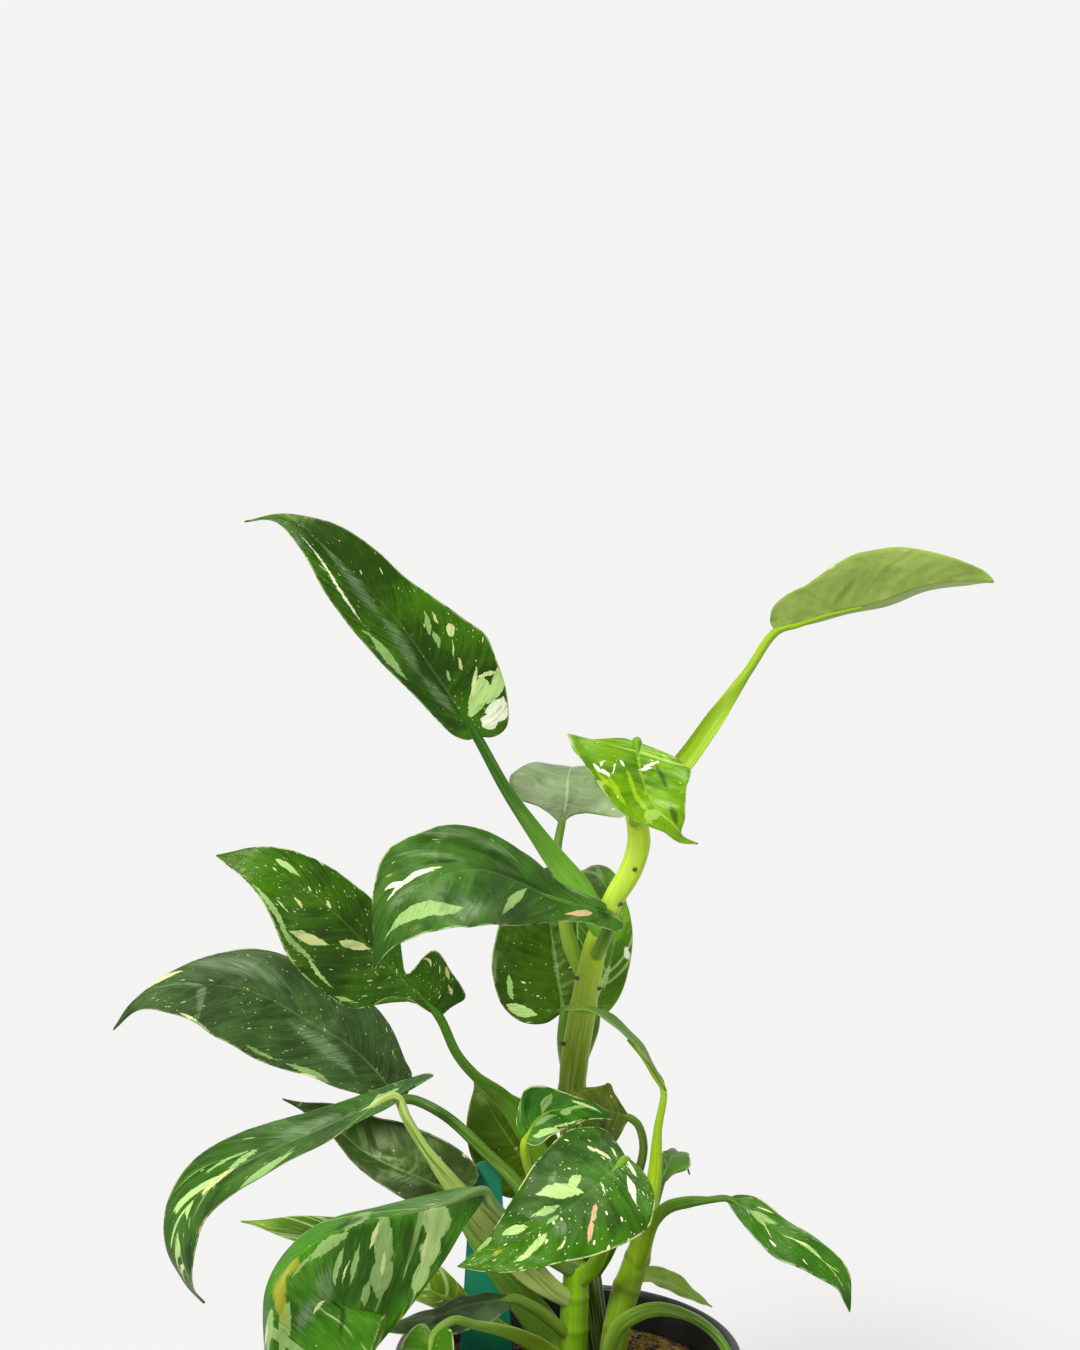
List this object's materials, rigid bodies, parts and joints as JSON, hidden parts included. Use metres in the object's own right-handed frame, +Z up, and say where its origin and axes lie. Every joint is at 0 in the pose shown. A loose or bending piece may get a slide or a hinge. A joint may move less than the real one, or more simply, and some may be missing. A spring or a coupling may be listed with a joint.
{
  "type": "potted variegated philodendron",
  "caption": "White wizard philodendron: heart-shaped leaves streaked with cream on long sheathed petioles and upright stems, in a filled black nursery pot with a plain plant label.",
  "frame": {"origin": "centre of the pot's flat base, on the surface that the pot stands on", "axes": "+Z up along the pot's axis, -Y towards the viewer of the picture, +X to the viewer's right"},
  "size_m": [0.3243, 0.1996, 0.428],
  "materials": {
    "pot": "black injection-moulded nursery plastic with a soft sheen",
    "soil": "moist dark potting mix with bark, grit and a little moss",
    "label": "plain teal plastic with a satin surface",
    "stem": "smooth green stem striped with cream and pale green",
    "leaf": "glossy dark green leaf with cream and white sectors, streaks and flecks",
    "leaf_dark": "dark grey-green leaf with a silver sheen and fine flecks along the veins",
    "leaf_young": "thin glossy yellow-green young leaf with white flecks",
    "leaf_olive": "matt olive-green underside with a darker patch and pale specks"
  },
  "bodies": {
    "root": {"pot": "pot", "soil": "soil", "label": "label", "stem_tall": "stem", "stem_front": "stem", "stem_right": "stem", "leaf_upper_left": "leaf", "leaf_upper_right": "leaf_olive", "leaf_young": "leaf_young", "leaf_upper_back": "leaf", "leaf_center": "leaf", "leaf_mid_left": "leaf", "leaf_left_large": "leaf_dark", "leaf_left_droop": "leaf", "leaf_left_behind": "leaf_dark", "leaf_front_left": "leaf", "leaf_low_left": "leaf", "leaf_front_center": "leaf", "leaf_small_center": "leaf", "leaf_curled": "leaf", "leaf_back_left": "leaf", "leaf_right": "leaf", "leaf_behind_left": "leaf", "leaf_behind_right": "leaf", "leaf_edge_on": "leaf_young", "leaf_small_back": "leaf", "leaf_over_rim": "leaf_olive", "leaf_front_right": "leaf", "leaf_low_front": "leaf", "leaf_low_dark": "leaf_dark"}
  },
  "joints": []
}
